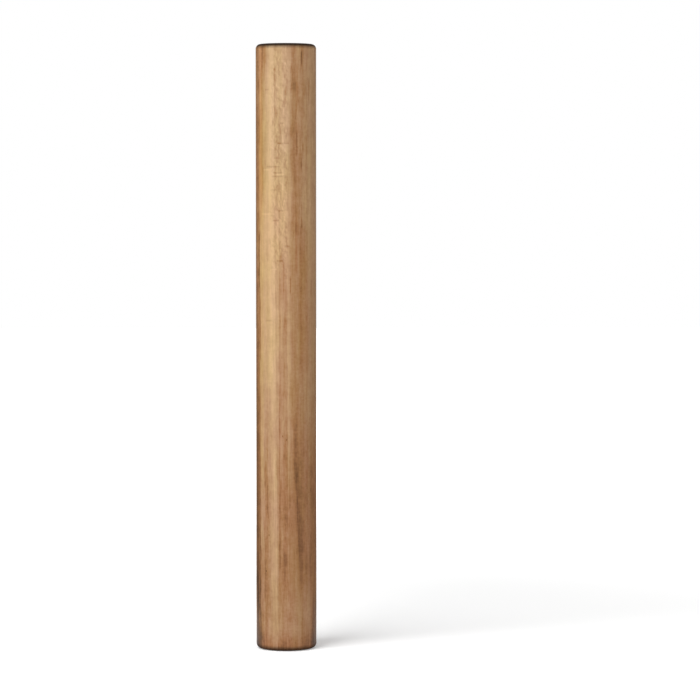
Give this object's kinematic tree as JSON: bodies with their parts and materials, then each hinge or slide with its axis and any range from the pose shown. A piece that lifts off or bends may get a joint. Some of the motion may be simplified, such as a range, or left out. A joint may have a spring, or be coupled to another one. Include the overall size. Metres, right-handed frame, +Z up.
{
  "type": "french rolling pin",
  "caption": "Straight hardwood rolling pin without handles: a plain round bar with softly rounded rims that is rolled under the palms over dough.",
  "frame": {"origin": "centre of the lower end face, which the pin stands on", "axes": "+Z runs up the pin's axis, along the grain; X and Y are alike, because the pin is round"},
  "size_m": [0.05, 0.05, 0.5],
  "materials": {
    "wood": "sanded and oiled hardwood, satin"
  },
  "bodies": {
    "root": {"rolling_pin": "wood"}
  },
  "joints": []
}
